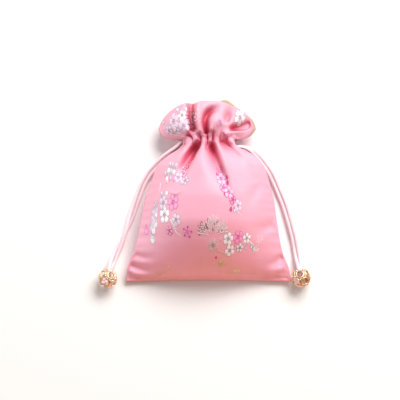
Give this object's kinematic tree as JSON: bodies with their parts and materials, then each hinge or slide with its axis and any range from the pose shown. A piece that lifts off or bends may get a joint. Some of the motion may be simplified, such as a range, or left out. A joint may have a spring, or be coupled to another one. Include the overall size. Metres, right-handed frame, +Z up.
{
  "type": "brocade drawstring pouch",
  "caption": "Small pink brocade drawstring pouch with a gathered neck, a ruffled mouth and paired satin cords ending in gilt openwork beads.",
  "frame": {"origin": "on the surface that the pouch lies on, under the middle of the bag's outline", "axes": "+Z up from the back panel to the front panel, +Y from the hem to the mouth, +X to the right as seen from above"},
  "size_m": [0.1294, 0.116, 0.0377],
  "materials": {
    "brocade": "pink satin-ground silk brocade with white, silver and magenta plum blossom",
    "lining": "champagne satin",
    "cord": "pale pink satin cord",
    "gilt": "gilt, softly polished"
  },
  "bodies": {
    "root": {"front_panel": "brocade", "back_panel": "brocade", "lining_front": "lining", "lining_back": "lining", "drawcord_left": "cord", "drawcord_right": "cord", "bead_left": "gilt", "bead_right": "gilt", "knot_left": "cord", "knot_right": "cord"}
  },
  "joints": []
}
